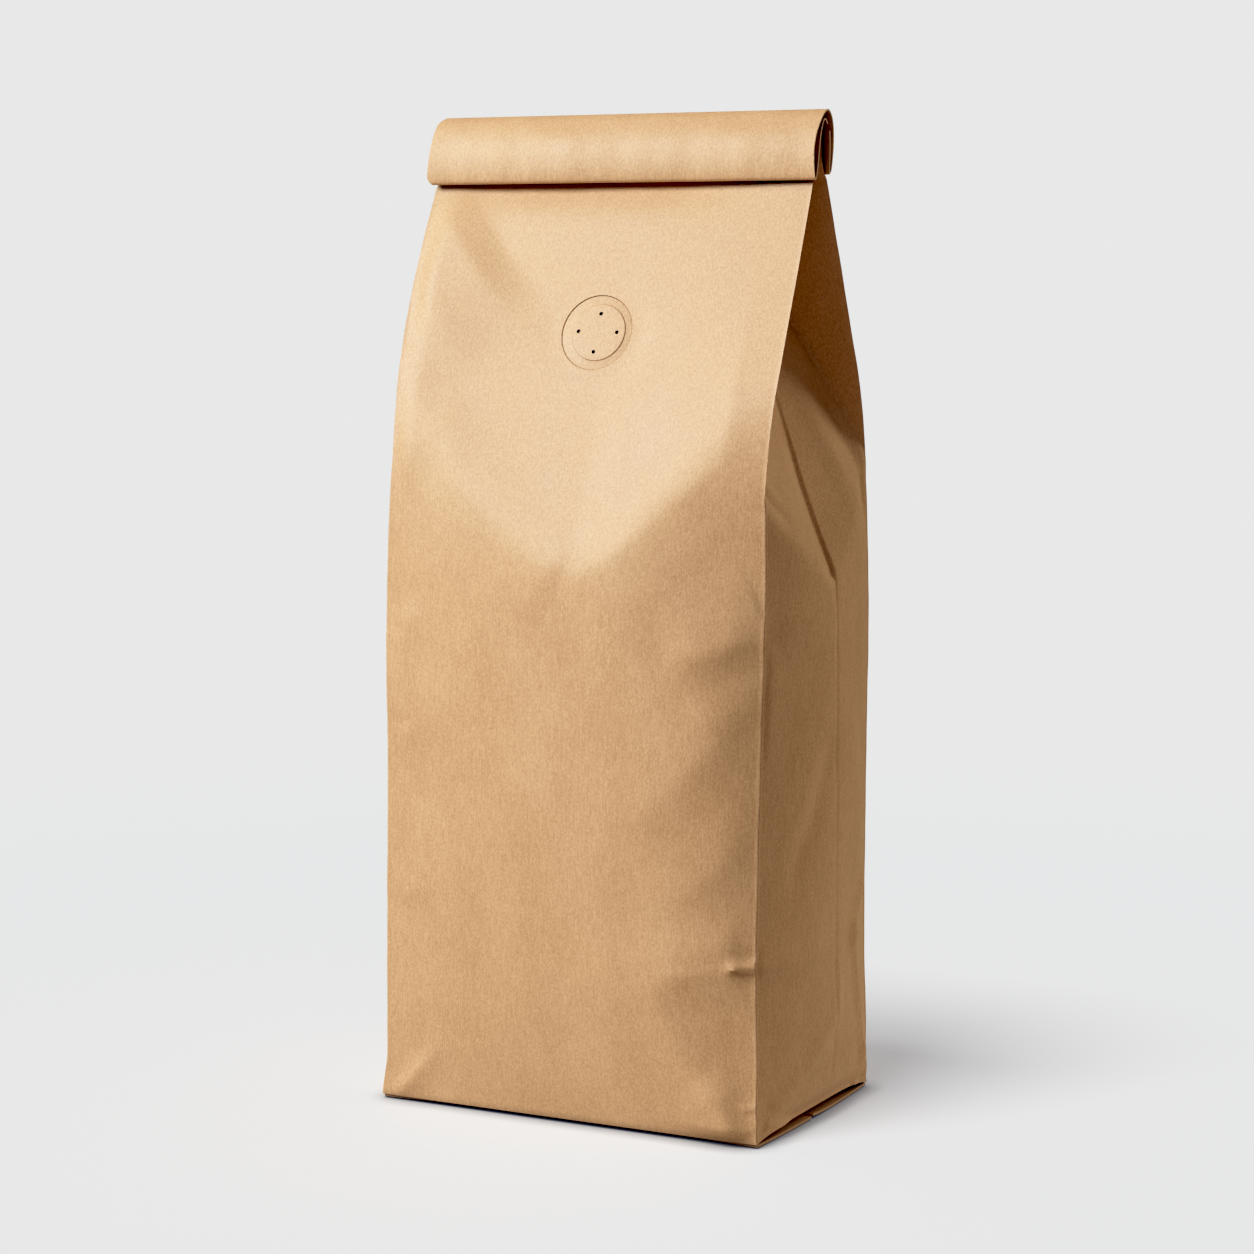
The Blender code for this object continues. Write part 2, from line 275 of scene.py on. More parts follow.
# The neck inside the roll, at one height each: its front and its rear face
NECK = np.array(((0.2860, -0.0060, 0.0057), (0.2880, -0.0045, 0.0051), (0.2905, -0.0030, 0.0027),
                 (0.2946, -0.0016, 0.0010), (0.3000, -0.0006, 0.0011), (0.3041, 0.0004, 0.0019)))
NECK_HEIGHT = 0.286
NECK_DEPTH = 0.0057
NECK_BLEND = (0.001, 0.002)
NECK_FRONT_MOST = -0.0012

# How the roll presses the front panel in below it
UNDER_ROLL = 0.0024
UNDER_ROLL_MIDDLE = -0.010
UNDER_ROLL_REACH = 0.052
UNDER_ROLL_RISE = 0.0055
UNDER_ROLL_POWERS = (4, 1.5)

# The pleats: swollen below, then a floor that slopes inwards with a shallow valley, between walls
GUSSET_BULGE = 0.0060
GUSSET_BULGE_RISE = 0.014
GUSSET_BLEND = 0.0015
GUSSET_FREE_EDGE = 0.0035
TUCK_START = 0.168
TUCK_SLOPE = 0.37
TUCK_VALLEY = (0.10, 0.22)
WALL_START = 0.193
WALL_SLOPE = 1.2
WALL_STEEPENS = 80.0
FOLD_THICKNESS = 0.0006
FOLD_SHARE_MOST = 0.25

# The lower edge: raised under the pleats and turned in under the bag
SIDE_RAISED = 0.0023
SIDE_RAISED_POWER = 4
SIDE_RAISED_FADES = 0.012
TURNED_UNDER = 0.930
TURNED_UNDER_HEIGHT = 0.0037

# How far the front right crease stands back from the panel's plain depth: height and distance
CREASE_BACK = np.array(((0.0, 0.0), (0.100, 0.0002), (0.140, 0.0006), (0.158, 0.0014), (0.172, 0.0021),
                        (0.190, 0.0023), (0.206, 0.0014), (0.222, 0.0003), (0.245, 0.0)))
CREASE_BACK_FROM = 0.25
# How much further out the right side stands: height and distance
RIGHT_WIDER = np.array(((0.0, 0.0), (0.003, -0.0004), (0.007, 0.0006), (0.012, 0.0012), (0.022, 0.0013),
                        (0.045, 0.0006), (0.065, 0.0006), (0.100, 0.0010), (0.140, 0.0013), (0.158, 0.0011),
                        (0.180, 0.0002), (0.196, -0.0005), (0.206, -0.0003), (0.225, 0.0)))
# How much further in the left side stands, in the same form
LEFT_NARROWER = np.array(((0.050, 0.0), (0.100, 0.0003), (0.145, 0.0004), (0.160, 0.0008),
                          (0.172, 0.0013), (0.185, 0.0018), (0.202, 0.0020), (0.212, 0.0017),
                          (0.222, 0.0011), (0.232, 0.0004), (0.245, 0.0)))

# Folds of the front panel. Each has the places it runs through as x, z; its height; how far it reaches
# to the left and to the right of its run; how round its crest is; how long it takes to rise and to
# die away, as shares of its length; and the power of its slope. Lengths are in mm.
FRONT_FOLDS = (
    (((4, 167), (11, 172), (20, 177), (30, 186), (40, 195), (50, 204), (60, 211)),
     0.5, 12, 9, 0.8, 0.02, 0.30, 1.5),
    (((4, 167), (-16, 180), (-38, 197), (-60, 225)), 0.9, 20, 12, 4.0, 0.10, 0.20, 2),
    (((-74, 280), (-61, 255), (-36, 228)), 2.6, 27, 30, 2.0, 0.40, 0.60, 1.3),
    (((-64, 284), (-42, 259), (-14, 233)), 1.4, 9, 26, 1.5, 0.20, 0.60, 1.1),
    (((-64, 240), (-62, 216), (-58, 186)), 1.2, 12, 10, 2.0, 0.40, 0.40, 1.6),
    (((34, 146), (50, 148.5), (66, 155)), 1.5, 24, 10, 0.6, 0.40, 0.02, 1.5),
    (((42, 127), (54, 129.5), (66, 134)), 0.6, 12, 10, 1.0, 0.40, 0.02, 1.5),
    (((20, 90), (37, 106), (60, 131)), 0.9, 26, 12, 2.0, 0.30, 0.30, 1.5),
    (((34, 68), (50, 82), (66, 100)), 0.8, 22, 12, 2.0, 0.40, 0.10, 1.5),
    (((36, 60), (50, 61), (66, 64)), 0.5, 16, 9, 1.0, 0.50, 0.05, 1.5),
    (((31, 51), (44, 52), (62, 54)), 1.0, 20, 12, 0.3, 0.35, 0.15, 1.4),
    (((33, 68), (31, 52), (37, 38), (46, 22), (54, 9), (62, 0)), 2.0, 20, 30, 1.0, 0.30, 0.05, 1.5),
    (((45, 22), (54, 12), (62, 0)), 1.3, 10, 16, 0.8, 0.40, 0.05, 1.4),
    (((-64, -3), (-54, 8), (-40, 24)), 1.1, 5, 9, 0.5, 0.02, 0.55, 1.5),
    (((-66, 154), (-58, 153), (-46, 157)), 0.5, 8, 12, 1.0, 0.02, 0.50, 2),
    (((-66, 150), (-65, 136), (-66, 122)), 1.2, 12, 4, 2.0, 0.10, 0.10, 1.6),
    (((-66, 119), (-58, 117), (-47, 121)), 0.35, 6, 9, 1.0, 0.02, 0.50, 2),
    (((-66, 69), (-56, 67), (-44, 70)), 0.5, 12, 6, 0.8, 0.02, 0.50, 2),
    (((-33, 49), (-30, 53)), 0.25, 2, 2, 0.5, 0.30, 0.30, 2))
# Pinches that cross the front right crease itself, in the same form
EDGE_PINCHES = (
    (((54, 53.0), (58, 54.8), (62, 55.0), (66, 55.8)), 1.7, 2.6, 1.8, 0.4, 0.40, 0.02, 2),
    (((58, 12.0), (66, 12.6)), 0.5, 1.6, 1.2, 0.4, 0.50, 0.02, 2))
# What is left of the front folds at the panel's two creases, and how far in they reach their height
FOLD_AT_LEFT = 0.35
FOLD_LEFT_REACH = 0.009
FOLD_AT_RIGHT = 0.35
FOLD_RIGHT_REACH = 0.010
FOLD_FREE_EDGE = 0.0060
# Folds of the right pleat, in the same form, with places as y, z
GUSSET_FOLDS = (
    (((1, 168), (3, 135), (5, 100), (7, 10)), -0.30, 0.7, 2.2, 0.05, 0.01, 0.03, 1),
    (((0, 240), (0, 200), (0, 180), (1, 167.5)), -1.2, 1.4, 9, 0.15, 0.65, 0.02, 1.2),
    (((13, 226), (20, 205), (30, 180)), 0.7, 10, 9, 1.0, 0.1, 0.3, 1.4),
    (((37, 178), (34, 195), (27, 222), (20, 240)), -1.5, 14, 6, 0.8, 0.25, 0.3, 1.4),
    (((-37, 199), (-27, 190), (-16, 183)), -1.0, 1.8, 7, 0.3, 0.02, 0.5, 1.4),
    (((0, 164), (-14, 158), (-36, 156)), 0.8, 14, 8, 2.0, 0.10, 0.30, 1.6),
    (((-35, 154), (-36, 132), (-37, 112)), 0.4, 9, 5, 1.0, 0.25, 0.30, 2),
    (((4, 122), (-10, 98), (-28, 72)), -1.2, 9, 9, 2.0, 0.25, 0.30, 2),
    (((-42, 54.5), (-20, 53), (5, 56)), 0.5, 10, 5, 0.7, 0.02, 0.35, 1.5),
    (((-36, 8), (-12, 20), (7, 32), (10, 57)), 1.0, 5, 6, 0.8, 0.10, 0.40, 1.5),
    (((-38, 6), (-26, 2), (-16, 0)), 0.7, 4, 4, 0.8, 0.10, 0.40, 1.5),
    (((19, 48), (26, 60), (38, 71)), 1.0, 4, 5, 0.6, 0.20, 0.10, 1.5),
    (((20, 66), (27, 42), (41, 1)), 0.9, 3, 6, 0.4, 0.20, 0.05, 1.4),
    (((41, 22), (36, 12), (30, 1)), 0.7, 4, 5, 0.6, 0.20, 0.05, 1.5))

# Where the panel is flattened and pressed over the valve
VALVE_X = 0.0013
VALVE_Z = 0.2421
VALVE_RING = 0.0120
VALVE_RING_EDGE = 0.0003
VALVE_FLAT = 0.0135
VALVE_FLAT_BLEND = 0.0070
VALVE_POCKET = 0.0006

# The raised, rubbed line along each crease; its paler colour is partly rubbed paper and partly a painted
# highlight where the fold catches the light
BEAD = 0.00010
BEAD_WIDTH = 0.0005
BEAD_FROM = 0.004
BEAD_UNEVEN = 0.4
BEAD_WAVES = (310, 97)
WEAR_AND_HIGHLIGHT_WIDTH = 0.0005
WEAR_AND_HIGHLIGHT_MIDDLE = 0.22
WEAR_AND_HIGHLIGHT_UNEVEN = 0.18
WEAR_AND_HIGHLIGHT_WAVES = (410, 173)

# How near a point of the blank is to a panel's plane to lie in it
ON_PANEL = 1 - 1e-5
# The mesh: cuts of the upright edges, made in two goes, of the panels and of the pleats, and how much
# closer together they lie at the creases and at the top and the bottom
HEIGHT_CUTS = 20
HEIGHT_CUTS_AGAIN = 9
PANEL_CUTS = 99
GUSSET_CUTS = 83
CLOSE_AT_CREASE = 0.72
CLOSE_AT_ENDS = 0.5
# Finer faces round the valve: the ring they lie in, from and to, and the cuts of each
VALVE_FINER = ((0.0095, 0.0145, 3), (0.0112, 0.0125, 2))
BODY_SMOOTH_BELOW = math.radians(60)

# The paper: two browns, the pale one of a rubbed crease that is partly a painted highlight, and noises per
# metre
KRAFT_DARK = (0.550, 0.335, 0.163)
KRAFT_LIGHT = (0.722, 0.465, 0.252)
KRAFT_PALE_EDGE_AND_HIGHLIGHT = (0.80, 0.59, 0.38)
KRAFT_ROUGHNESS = 0.52
ROUGHNESS_SPREAD = 0.03
KRAFT_SPECULAR = 0.5
PAPER_STRETCH = (1, 1, 0.6)
GRAIN_SCALE = 2200.0
GRAIN_SPREAD = 0.5
GRAIN_HEIGHT = 0.00003
FIBRE_STRETCH = (1, 1, 0.12)
FIBRE_SCALE = 1800.0
FIBRE_SPREAD = 0.22
CLOUD_SCALE = 60.0
CLOUD_RANGE = (0.32, 0.68)
NOISE_MIDDLE = (0.3, 0.7)
# How far the painted shade in crevices and narrow gaps reaches
PAINTED_SHADE_REACH = 0.0035


def smooth_step(low, high, value):
    """0 at low, 1 at high, and an S curve between them."""
    t = np.clip((value - low) / (high - low), 0.0, 1.0)
    return t * t * (3 - 2 * t)


def soft_min(a, b, width):
    """The lower of two surfaces, rounded where they cross."""
    overlap = np.maximum(width - np.abs(a - b), 0.0) / width
    return np.minimum(a, b) - overlap * overlap * width / 4


def fade_in(start, reach, distance):
    """A share that grows from its start to 1 over a reach."""
    return start + (1 - start) * smooth_step(0.0, reach, distance)


def half_width(z):
    """Half the width of the panels at a height."""
    drawn_in = smooth_step(0.0, BASE_BLEND, z) * (1 - smooth_step(*NECK_WIDENS, z))
    resting = HALF_WIDTH_BASE + (HALF_WIDTH_NECK - HALF_WIDTH_BASE) * smooth_step(0.0, NECK_WIDENS[1], z)
    return resting + (HALF_WIDTH_BODY - resting) * drawn_in


def folds(across, up, table):
    """The summed height of a table's folds, each a crest that runs through its places and dies away."""
    total = np.zeros_like(across)
    for places, height, left, right, crest, rise, fall, power in table:
        run = np.array(places, dtype=float) / 1000
        steps = np.linalg.norm(np.diff(run, axis=0), axis=1)
        nearest = np.full_like(across, np.inf)
        side = np.zeros_like(across)
        share = np.zeros_like(across)
        for number, (a, b) in enumerate(zip(run[:-1], run[1:])):
            x, z = across - a[0], up - a[1]
            dx, dz = (b - a) / steps[number]
            along = np.clip(x * dx + z * dz, 0, steps[number])
            away = np.hypot(x - along * dx, z - along * dz)
            closer = away < nearest
            nearest = np.where(closer, away, nearest)
            side = np.where(closer, dx * z - dz * x, side)
            share = np.where(closer, (steps[:number].sum() + along) / steps.sum(), share)
        reach = np.where(side > 0, left, right) / 1000
        round_off = crest / 1000
        away = np.sqrt(nearest ** 2 + round_off ** 2) - round_off
        fade = smooth_step(0, rise, share) * smooth_step(0, fall, 1 - share)
        total += height / 1000 * fade * np.clip(1 - away / reach, 0, 1) ** power
    return total


def panel_depth(x, z, lift, eased):
    """How far a panel stands out from the bag's middle plane, before its folds."""
    across = np.clip(x / half_width(z), -1.0, 1.0)
    bulge = PANEL_BULGE * (1 - np.exp(-z / PANEL_BULGE_RISE))
    left_part = np.clip((CROWN - across) / (1 + CROWN), 0, 1) ** CROWN_POWER_LEFT
    below_power, above_power = CROWN_POWER_RIGHT
    right_power = below_power + (above_power - below_power) * smooth_step(*CROWN_FLATTER, z)
    right_part = np.clip((across - CROWN) / (1 - CROWN), 0, 1) ** right_power
    filled = BASE_DEPTH - BODY_TAPER * z + bulge * (1 - left_part - right_part)
    below = np.maximum(NECK_HEIGHT - z, 0.0)
    leaning = PANEL_TOP_DEPTH + below * math.tan(PANEL_LEAN)
    edge = NECK_DEPTH + below * (EDGE_SLOPE - eased * smooth_step(EDGE_EASED_FROM, 1.0, across))
    shoulder = leaning + (edge - leaning) * np.abs(across) ** SHOULDER_POWER
    lifted = np.interp(x, (LIFT_FROM, LIFT_MOST, HALF_WIDTH_NECK), (0, 1, LIFT_AT_EDGE))
    shoulder = shoulder + lift * lifted * smooth_step(LIFT_TOP, LIFT_FULL, z)
    blend = PANEL_BLEND + LEFT_BLEND * np.clip(-across, 0, 1) + RIGHT_BLEND * np.clip(across, 0, 1) ** 2
    return soft_min(filled, shoulder, blend)


def distance_from_valve(x, z):
    """How far a point is from the middle of the valve, along the leaning panel."""
    return np.hypot(x - VALVE_X, (z - VALVE_Z) / math.cos(PANEL_LEAN))


def neck_share(z):
    """0 on the leaning panels, 1 on the neck inside the roll."""
    return smooth_step(NECK_HEIGHT - NECK_BLEND[0], NECK_HEIGHT + NECK_BLEND[1], z)


def front_face(x, z):
    """The depth of the front panel: its plain form, its folds, the seat of the valve and the neck."""
    width_power, height_power = UNDER_ROLL_POWERS
    tucked = UNDER_ROLL * np.exp(-((x - UNDER_ROLL_MIDDLE) / UNDER_ROLL_REACH) ** width_power)
    tucked = tucked * np.exp(-(np.maximum(NECK_HEIGHT - z, 0) / UNDER_ROLL_RISE) ** height_power)
    across = np.clip(x / half_width(z), -1.0, 1.0)
    from_right = fade_in(FOLD_AT_RIGHT, FOLD_RIGHT_REACH, (1 - across) * half_width(z))
    from_left = fade_in(FOLD_AT_LEFT, FOLD_LEFT_REACH, (1 + across) * half_width(z))
    inside = from_left * from_right * smooth_step(0.0, FOLD_FREE_EDGE, z)
    back = np.interp(z, CREASE_BACK[:, 0], CREASE_BACK[:, 1])
    back = back * np.clip((across - CREASE_BACK_FROM) / (1 - CREASE_BACK_FROM), 0, 1)
    creased = folds(x, z, FRONT_FOLDS) * inside + folds(x, z, EDGE_PINCHES)
    leaning = tucked + back - panel_depth(x, z, SHOULDER_LIFT, EDGE_EASED) - creased
    seat = -(PANEL_TOP_DEPTH + (NECK_HEIGHT - z) * math.tan(PANEL_LEAN))
    from_valve = distance_from_valve(x, z)
    flat = 1 - smooth_step(VALVE_FLAT, VALVE_FLAT + VALVE_FLAT_BLEND, from_valve)
    pocket = VALVE_POCKET * (1 - smooth_step(VALVE_RING - VALVE_RING_EDGE, VALVE_RING, from_valve))
    leaning = leaning * (1 - flat) + seat * flat + pocket
    neck = np.interp(z, NECK[:, 0], NECK[:, 1])
    neck = np.minimum(neck + tucked, np.maximum(neck, NECK_FRONT_MOST))
    share = neck_share(z)
    return leaning * (1 - share) + neck * share


def rear_face(x, z):
    """The depth of the rear panel, which is plain."""
    neck = np.interp(z, NECK[:, 0], NECK[:, 2])
    share = neck_share(z)
    return panel_depth(x, z, 0, 0) * (1 - share) + neck * share


def gusset_offset(y, z, depth):
    """How far a pleat stands outside the corner creases, or inside them where the value is negative."""
    across = np.minimum(1.0, np.abs(y) / depth)
    swollen = GUSSET_BULGE * (1 - np.exp(-z / GUSSET_BULGE_RISE)) * (1 - across ** 2)
    valley = np.where(y < 0, -TUCK_VALLEY[0], TUCK_VALLEY[1]) * y
    floor = GUSSET_BULGE - TUCK_SLOPE * (z - TUCK_START) + valley
    steepness = WALL_SLOPE + WALL_STEEPENS * np.maximum(0.0, z - WALL_START)
    wall = -steepness * (depth - np.abs(y))
    return -soft_min(-soft_min(swollen, floor, GUSSET_BLEND), -wall, GUSSET_BLEND)


def close_at_ends(share, strength):
    """Spreads even steps from -1 to 1 so that they lie closer together at both ends."""
    return share * (1 - strength) + strength * (1.5 * share - 0.5 * share ** 3)


def close_at_ends_and_middle(share, strength):
    """The same, with the steps closer together in the middle too."""
    return share - strength * np.sin(2 * np.pi * share) / (2 * np.pi)


def place_height(w):
    """The height of a row of points, given as an even step from -1 to 1."""
    return BODY_LOW + (BODY_TOP - BODY_LOW) * (close_at_ends(w, CLOSE_AT_ENDS) + 1) / 2


def read_points(mesh):
    points = np.empty(len(mesh.vertices) * 3)
    mesh.vertices.foreach_get("co", points)
    return points.reshape(-1, 3)


def read_centres(mesh):
    centres = np.empty(len(mesh.polygons) * 3)
    mesh.polygons.foreach_get("center", centres)
    return centres.reshape(-1, 3)


def place_points(mesh, x, y, z):
    mesh.vertices.foreach_set("co", np.stack((x, y, z), axis=1).ravel())
    mesh.update()


def select_edges(mesh, axis):
    """Selects the edges that run mostly along one axis."""
    points = read_points(mesh)
    ends = np.empty(len(mesh.edges) * 2, dtype=np.int64)
    mesh.edges.foreach_get("vertices", ends)
    ends = ends.reshape(-1, 2)
    span = np.abs(points[ends[:, 1]] - points[ends[:, 0]])
    mesh.polygons.foreach_set("select", np.zeros(len(mesh.polygons), dtype=bool))
    mesh.vertices.foreach_set("select", np.zeros(len(mesh.vertices), dtype=bool))
    mesh.edges.foreach_set("select", span[:, axis] > 0.5 * span.sum(axis=1))


def cut_edges(piece, axis, cuts):
    """Cuts a piece, left in edit mode, across all its edges along one axis: x 0, y 1 or z 2."""
    bpy.ops.object.mode_set(mode="OBJECT")
    select_edges(piece.data, axis)
    bpy.ops.object.mode_set(mode="EDIT")
    bpy.ops.mesh.subdivide(number_cuts=cuts)


def refine_round_valve(low, high, cuts):
    """Cuts the front panel's faces in a ring round the valve into smaller ones."""
    bpy.ops.object.mode_set(mode="EDIT")
    centres = read_centres(bag_body.data)
    z = place_height(centres[:, 2])
    x = close_at_ends(centres[:, 0], CLOSE_AT_CREASE) * half_width(z)
    away = distance_from_valve(x, z)
    bpy.ops.mesh.select_all(action="DESELECT")
    bpy.ops.mesh.select_mode(type="FACE")
    bpy.ops.object.mode_set(mode="OBJECT")
    chosen = (centres[:, 1] < -ON_PANEL) & (away > low) & (away < high)
    bag_body.data.polygons.foreach_set("select", chosen)
    bpy.ops.object.mode_set(mode="EDIT")
    bpy.ops.mesh.subdivide(number_cuts=cuts)
    bpy.ops.object.mode_set(mode="OBJECT")


bpy.ops.object.select_all(action="DESELECT")
bpy.ops.mesh.primitive_cube_add(size=2, location=(0, 0, 0))
bag_body = bpy.context.object
bag_body.name = "bag_body"
bpy.ops.object.mode_set(mode="EDIT")
bpy.ops.mesh.select_mode(type="FACE")
bpy.ops.mesh.select_all(action="DESELECT")
bpy.ops.object.mode_set(mode="OBJECT")
for face in bag_body.data.polygons:
    face.select = abs(face.normal.z) > 0.5
bpy.ops.object.mode_set(mode="EDIT")
bpy.ops.mesh.delete(type="FACE")
bpy.ops.mesh.select_mode(type="EDGE")
for axis, cuts in ((2, HEIGHT_CUTS), (2, HEIGHT_CUTS_AGAIN), (0, PANEL_CUTS), (1, GUSSET_CUTS)):
    cut_edges(bag_body, axis, cuts)
bpy.ops.object.mode_set(mode="OBJECT")
for low, high, cuts in VALVE_FINER:
    refine_round_valve(low, high, cuts)

# Each point is placed from where it lies on the blank: u to the right, v to the rear and w up
blank = read_points(bag_body.data)
u, v, w = blank[:, 0], blank[:, 1], blank[:, 2]
on_front = v < -ON_PANEL
on_rear = v > ON_PANEL
on_panel = on_front | on_rear
height = place_height(w)
across = close_at_ends(u, CLOSE_AT_CREASE) * half_width(height)
side = np.sign(u)
corner_front = front_face(side * half_width(height), height)
corner_rear = rear_face(side * half_width(height), height)
middle = (corner_front + corner_rear) / 2
depth = (corner_rear - corner_front) / 2
along = close_at_ends_and_middle(v, CLOSE_AT_CREASE)
fold = np.minimum(FOLD_THICKNESS, depth * FOLD_SHARE_MOST)
gusset_y = middle + along * depth
gusset_x = half_width(height) + gusset_offset(along * (depth - fold), height, depth - fold)
edge_fade = smooth_step(0.0, GUSSET_FREE_EDGE, depth - np.abs(along * depth))
gusset_x = gusset_x + folds(gusset_y, height, GUSSET_FOLDS) * (side > 0) * edge_fade
from_crease = np.where(on_panel, half_width(height) - np.abs(across), depth * (1 - np.abs(along)))
slow_wave = np.sin(height * BEAD_WAVES[1] + 1)
worn = BEAD * (1 + BEAD_UNEVEN * np.sin(height * BEAD_WAVES[0] + 2 * side) * slow_wave)
bead = worn * np.exp(-(from_crease / BEAD_WIDTH) ** 2)
bead = bead * smooth_step(0.0, BEAD_FROM, height) * (height < NECK_HEIGHT)
x = np.where(on_panel, across, side * gusset_x)
y = np.where(on_front, front_face(across, height), np.where(on_rear, rear_face(across, height), gusset_y))
x = x + side * bead
wider = np.interp(height, RIGHT_WIDER[:, 0], RIGHT_WIDER[:, 1])
narrower = np.interp(height, LEFT_NARROWER[:, 0], LEFT_NARROWER[:, 1])
x = x + wider * np.clip(x / half_width(height), 0, 1) ** 2
x = x + narrower * np.clip(-x / half_width(height), 0, 1) ** 2
y = y + np.where(on_front, -1, np.where(on_rear, 1, np.sign(v))) * bead
low_down = 1 - smooth_step(0, SIDE_RAISED_FADES, height)
height = height + SIDE_RAISED * (1 - along ** SIDE_RAISED_POWER) * ~on_panel * low_down
place_points(bag_body.data, x, y, height)

# The lower rim is turned in under the bag, and then both open ends are closed
bpy.ops.object.mode_set(mode="EDIT")
bpy.ops.mesh.select_mode(type="EDGE")
bpy.ops.mesh.select_all(action="DESELECT")
bpy.ops.mesh.select_non_manifold()
bpy.ops.object.mode_set(mode="OBJECT")
for edge in bag_body.data.edges:
    if edge.select and bag_body.data.vertices[edge.vertices[0]].co.z > NECK_HEIGHT:
        edge.select = False
for point in bag_body.data.vertices:
    point.select = point.select and point.co.z < NECK_HEIGHT
bpy.ops.object.mode_set(mode="EDIT")
bpy.ops.mesh.extrude_region_move()
bpy.ops.transform.resize(value=(TURNED_UNDER, TURNED_UNDER, 0), center_override=(0, 0, TURNED_UNDER_HEIGHT))
bpy.ops.mesh.edge_face_add()
bpy.ops.mesh.select_all(action="DESELECT")
bpy.ops.mesh.select_non_manifold()
bpy.ops.mesh.edge_face_add()
bpy.ops.mesh.select_all(action="SELECT")
bpy.ops.mesh.normals_make_consistent(inside=False)
bpy.ops.object.mode_set(mode="OBJECT")
bpy.ops.object.shade_smooth_by_angle(angle=BODY_SMOOTH_BELOW)

# Along each crease the colour turns paler: partly rubbed paper, partly a painted highlight where the fold
# catches the light
pale_edge_and_highlight = bag_body.data.attributes.new("pale_edge_and_highlight", "FLOAT", "POINT")
from_edge = np.minimum(from_crease / WEAR_AND_HIGHLIGHT_WIDTH, 1)
slow_wave = np.sin(height * WEAR_AND_HIGHLIGHT_WAVES[1] + side)
wear_and_highlight = WEAR_AND_HIGHLIGHT_MIDDLE + WEAR_AND_HIGHLIGHT_UNEVEN * np.sin(height * WEAR_AND_HIGHLIGHT_WAVES[0]) * slow_wave
spread = np.zeros(len(bag_body.data.vertices))
spread[:len(from_edge)] = (1 - from_edge) * wear_and_highlight
pale_edge_and_highlight.data.foreach_set("value", spread)

kraft = bpy.data.materials.new("brown_kraft")
kraft.use_nodes = True
nodes, links = kraft.node_tree.nodes, kraft.node_tree.links
shader = nodes["Principled BSDF"]
shader.inputs["Specular IOR Level"].default_value = KRAFT_SPECULAR
place = nodes.new("ShaderNodeTexCoord")


def paper_noise(stretch, scale, detail):
    """Noise over the paper, drawn out by different amounts along each axis."""
    drawn_out = nodes.new("ShaderNodeVectorMath")
    drawn_out.operation = "MULTIPLY"
    drawn_out.inputs[1].default_value = stretch
    links.new(place.outputs["Object"], drawn_out.inputs[0])
    noise = nodes.new("ShaderNodeTexNoise")
    noise.inputs["Scale"].default_value = scale
    noise.inputs["Detail"].default_value = detail
    links.new(drawn_out.outputs["Vector"], noise.inputs["Vector"])
    return noise.outputs["Fac"]


def spread_out(value, low, high):
    """Maps a noise's middle range onto low to high."""
    mapped = nodes.new("ShaderNodeMapRange")
    mapped.inputs["From Min"].default_value = NOISE_MIDDLE[0]
    mapped.inputs["From Max"].default_value = NOISE_MIDDLE[1]
    mapped.inputs["To Min"].default_value = low
    mapped.inputs["To Max"].default_value = high
    links.new(value, mapped.inputs["Value"])
    return mapped.outputs["Result"]


def add_up(a, b):
    node = nodes.new("ShaderNodeMath")
    node.operation = "ADD"
    links.new(a, node.inputs[0])
    links.new(b, node.inputs[1])
    return node.outputs["Value"]


grain = paper_noise(PAPER_STRETCH, GRAIN_SCALE, 2)
fibres = paper_noise(FIBRE_STRETCH, FIBRE_SCALE, 1)
clouds = paper_noise(PAPER_STRETCH, CLOUD_SCALE, 3)
grain_tone = spread_out(grain, -GRAIN_SPREAD, GRAIN_SPREAD)
fibre_tone = spread_out(fibres, -FIBRE_SPREAD, FIBRE_SPREAD)
light = add_up(add_up(grain_tone, fibre_tone), spread_out(clouds, *CLOUD_RANGE))
tone = nodes.new("ShaderNodeMix")
tone.data_type = "RGBA"
tone.inputs["A"].default_value = (*KRAFT_DARK, 1)
tone.inputs["B"].default_value = (*KRAFT_LIGHT, 1)
links.new(light, tone.inputs["Factor"])
# The pale colour along the creases: rubbed paper and a painted highlight
pale_edge_and_highlight_node = nodes.new("ShaderNodeAttribute")
pale_edge_and_highlight_node.attribute_name = "pale_edge_and_highlight"
pale_edge_and_highlight_tone = nodes.new("ShaderNodeMix")
pale_edge_and_highlight_tone.data_type = "RGBA"
pale_edge_and_highlight_tone.inputs["B"].default_value = (*KRAFT_PALE_EDGE_AND_HIGHLIGHT, 1)
links.new(pale_edge_and_highlight_node.outputs["Fac"], pale_edge_and_highlight_tone.inputs["Factor"])
links.new(tone.outputs["Result"], pale_edge_and_highlight_tone.inputs["A"])
# Painted shade: ambient occlusion darkens the paper's colour in crevices and narrow gaps, such as the slit
# between the body and the flaps
crevice_painted_shade = nodes.new("ShaderNodeAmbientOcclusion")
crevice_painted_shade.inputs["Distance"].default_value = PAINTED_SHADE_REACH
links.new(pale_edge_and_highlight_tone.outputs["Result"], crevice_painted_shade.inputs["Color"])
links.new(crevice_painted_shade.outputs["Color"], shader.inputs["Base Color"])
roughness = spread_out(clouds, KRAFT_ROUGHNESS - ROUGHNESS_SPREAD, KRAFT_ROUGHNESS + ROUGHNESS_SPREAD)
links.new(roughness, shader.inputs["Roughness"])
bump = nodes.new("ShaderNodeBump")
bump.inputs["Strength"].default_value = 1.0
bump.inputs["Distance"].default_value = GRAIN_HEIGHT
links.new(add_up(grain, fibres), bump.inputs["Height"])
links.new(bump.outputs["Normal"], shader.inputs["Normal"])
bag_body.data.materials.append(kraft)
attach(bag_body, "root")
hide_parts("bag")

